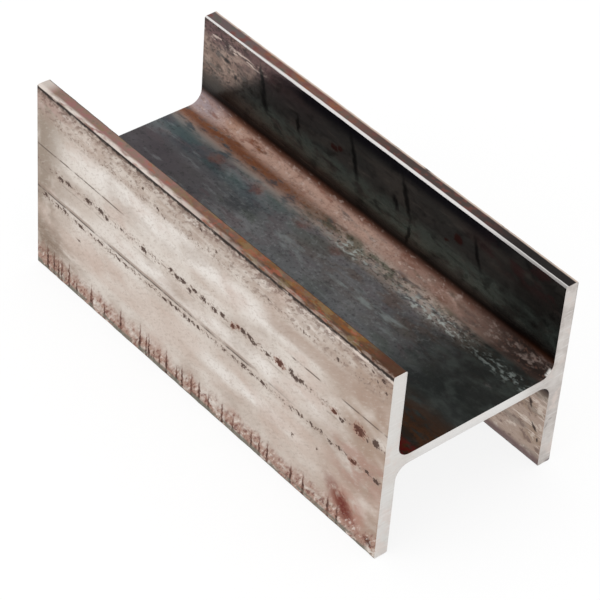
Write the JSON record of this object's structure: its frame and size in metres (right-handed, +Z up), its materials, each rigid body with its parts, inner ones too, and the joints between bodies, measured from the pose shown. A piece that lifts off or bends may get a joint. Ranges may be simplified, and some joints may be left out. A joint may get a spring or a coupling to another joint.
{
  "type": "steel i-beam",
  "caption": "Short offcut of hot-rolled wide-flange steel beam with an H section, root fillets and sawn ends, lying on its flange edges.",
  "frame": {"origin": "on the ground under the middle of the beam, halfway between the flanges and between the sawn ends", "axes": "+X along the beam, +Y across its depth from flange to flange, +Z up along the flange width"},
  "size_m": [0.295, 0.125, 0.125],
  "materials": {
    "rolled_steel": "mill scale with light rust, worn pale on the outer flange faces and bright on the sawn ends"
  },
  "bodies": {
    "root": {"i_beam": "rolled_steel"}
  },
  "joints": []
}
